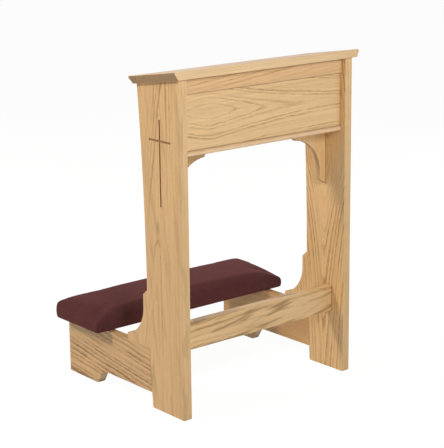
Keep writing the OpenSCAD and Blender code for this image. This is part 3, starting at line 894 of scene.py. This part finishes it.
def make_pad():
    low = PAD_LOW + Vector((BLOCK_INSET, BLOCK_INSET, 0))
    high = Vector((PAD_HIGH.x - BLOCK_INSET, PAD_HIGH.y - BLOCK_INSET, PAD_LOW.z + BLOCK_HEIGHT))
    pad = block("kneeling_pad", low, high)
    round_edges(pad, lambda a, b: abs(a.z - b.z) > UPRIGHT_RISE, CORNER_ROUNDING, segments=2)
    round_edges(pad, lambda a, b: min(a.z, b.z) > high.z - ON_FACE, TOP_ROUNDING, segments=4)
    round_edges(pad, lambda a, b: max(a.z, b.z) < low.z + ON_FACE, LOWER_ROUNDING, segments=2)
    remesh = pad.modifiers.new("even mesh", "REMESH")
    remesh.mode = "VOXEL"
    remesh.voxel_size = VOXEL
    apply_modifiers(pad)
    let_top_follow(pad)
    soften(pad, turns=6)
    fill_with_foam(pad)
    soften(pad, turns=16)
    rounding = pad.modifiers.new("rounding", "SUBSURF")
    rounding.levels = rounding.render_levels = 1
    apply_modifiers(pad)
    for vertex in pad.data.vertices:
        vertex.co.z = max(vertex.co.z, PAD_LOW.z)
    room = Vector((BASE_ROOM, BASE_ROOM, BASE_ROOM))
    hollow_for(pad, BASE_LOW - room, BASE_HIGH + room)
    hem = Vector((HEM, HEM, 0))
    hollow_for(pad, PAD_LOW + hem - Vector((0, 0, CUT_START)),
               Vector((PAD_HIGH.x - hem.x, PAD_HIGH.y - hem.y, BASE_LOW.z)))
    pad.data.materials.clear()
    pad.data.materials.append(make_burgundy())
    smooth(pad, PAD_SMOOTHING)
    return pad


pad = make_pad()
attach(pad, "root")
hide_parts("kneeler_cover", "kneeler_foam")


# Studio

# The floor's glow where it is seen, that glow's share of its look, and the soft light from all round
FLOOR_GLOW = 1.07
FLOOR_GLOW_SHARE = 0.89
SOFT_LIGHT = 0.12

LAMP_AIM = Vector((0, 0, 0.45))
WHITE_LIGHT = (1.0, 1.0, 1.0)

# Each lamp's place, size across, watts and tint
LAMPS = {
    "key lamp": ((-3.14, 1.22, 3.05), 0.5, 86, (1.0, 0.87, 0.71)),
    "front lamp": ((-0.77, -2.1, 1.75), 0.5, 21.5, (0.97, 1.0, 1.06)),
    "near front lamp": ((0.0, -2.2, 1.2), 0.8, 8, WHITE_LIGHT),
    "low front lamp": ((2.2, -3.2, 0.6), 1.0, 10, WHITE_LIGHT),
    "back lamp": ((-0.7, 3.6, 1.5), 1.2, 30, WHITE_LIGHT),
    "right lamp": ((3.4, 0.4, 1.3), 1.2, 22, WHITE_LIGHT),
}

# Sensor and lens in millimetres, and the place and turn that a fit to the photograph gave
SENSOR_WIDTH = 36
LENS = 117.53
CAMERA_PLACE = Vector((-2.5078, -2.8194 - MIDDLE_BEHIND_FRONT, 1.4413))
CAMERA_YAW = math.radians(39.711)
CAMERA_PITCH = math.radians(14.246)
CAMERA_ROLL = math.radians(-0.630)


def seen_share(graph):
    """1 where the camera sees a surface, also in a gloss or through glass, and 0 where it gives light."""
    path = graph.node("ShaderNodeLightPath")
    seen = graph.math("MAXIMUM", path.outputs["Is Camera Ray"], path.outputs["Is Glossy Ray"])
    return graph.math("MAXIMUM", seen, path.outputs["Is Transmission Ray"])


def make_floor():
    bpy.ops.mesh.primitive_circle_add(vertices=96, radius=40, fill_type="NGON", location=(0, 0, 0))
    floor = bpy.context.object
    floor.name = "studio_floor"
    material, graph, shader = new_material("studio floor")
    shader.inputs["Base Color"].default_value = (0.8, 0.8, 0.8, 1)
    shader.inputs["Roughness"].default_value = 0.9
    white = graph.node("ShaderNodeEmission")
    white.inputs["Strength"].default_value = FLOOR_GLOW
    blend = graph.node("ShaderNodeMixShader")
    graph.feed(blend.inputs[0], graph.times(seen_share(graph), FLOOR_GLOW_SHARE))
    graph.feed(blend.inputs[1], shader.outputs[0])
    graph.feed(blend.inputs[2], white.outputs[0])
    out = next(node for node in material.node_tree.nodes if node.type == "OUTPUT_MATERIAL")
    graph.feed(out.inputs["Surface"], blend.outputs[0])
    floor.data.materials.append(material)


def make_world():
    """White where it is seen, and a little soft light from all round."""
    world = bpy.data.worlds.new("studio")
    bpy.context.scene.world = world
    world.use_nodes = True
    graph = Graph(world.node_tree)
    world.node_tree.nodes.clear()
    back = graph.node("ShaderNodeBackground")
    back.inputs["Color"].default_value = (1.0, 1.0, 1.0, 1.0)
    strength = graph.plus(SOFT_LIGHT, graph.times(seen_share(graph), 1 - SOFT_LIGHT))
    graph.feed(back.inputs["Strength"], strength)
    out = graph.node("ShaderNodeOutputWorld")
    graph.feed(out.inputs["Surface"], back.outputs[0])


def add_lamp(name, place, size, watts, tint):
    lamp = bpy.data.lights.new(name, "AREA")
    lamp.size = size
    lamp.energy = watts
    lamp.color = tint
    holder = bpy.data.objects.new(name, lamp)
    holder.location = place
    holder.rotation_euler = (LAMP_AIM - Vector(place)).to_track_quat("-Z", "Y").to_euler()
    bpy.context.scene.collection.objects.link(holder)


def add_camera():
    camera = bpy.data.cameras.new("camera")
    camera.sensor_width = SENSOR_WIDTH
    camera.lens = LENS
    camera.clip_end = 200
    holder = bpy.data.objects.new("camera", camera)
    level = Vector((math.sin(CAMERA_YAW), math.cos(CAMERA_YAW), 0))
    ahead = level * math.cos(CAMERA_PITCH) - UPWARDS * math.sin(CAMERA_PITCH)
    right = Vector((math.cos(CAMERA_YAW), -math.sin(CAMERA_YAW), 0))
    up = right.cross(ahead)
    tilted_right = right * math.cos(CAMERA_ROLL) + up * math.sin(CAMERA_ROLL)
    tilted_up = up * math.cos(CAMERA_ROLL) - right * math.sin(CAMERA_ROLL)
    turn = Matrix((tilted_right, tilted_up, -ahead)).transposed().to_4x4()
    holder.matrix_world = Matrix.Translation(CAMERA_PLACE) @ turn
    bpy.context.scene.collection.objects.link(holder)
    bpy.context.scene.camera = holder


make_floor()
make_world()
for lamp_name, (lamp_place, lamp_size, lamp_watts, lamp_tint) in LAMPS.items():
    add_lamp(lamp_name, lamp_place, lamp_size, lamp_watts, lamp_tint)
add_camera()
bpy.context.scene.view_settings.view_transform = "Standard"
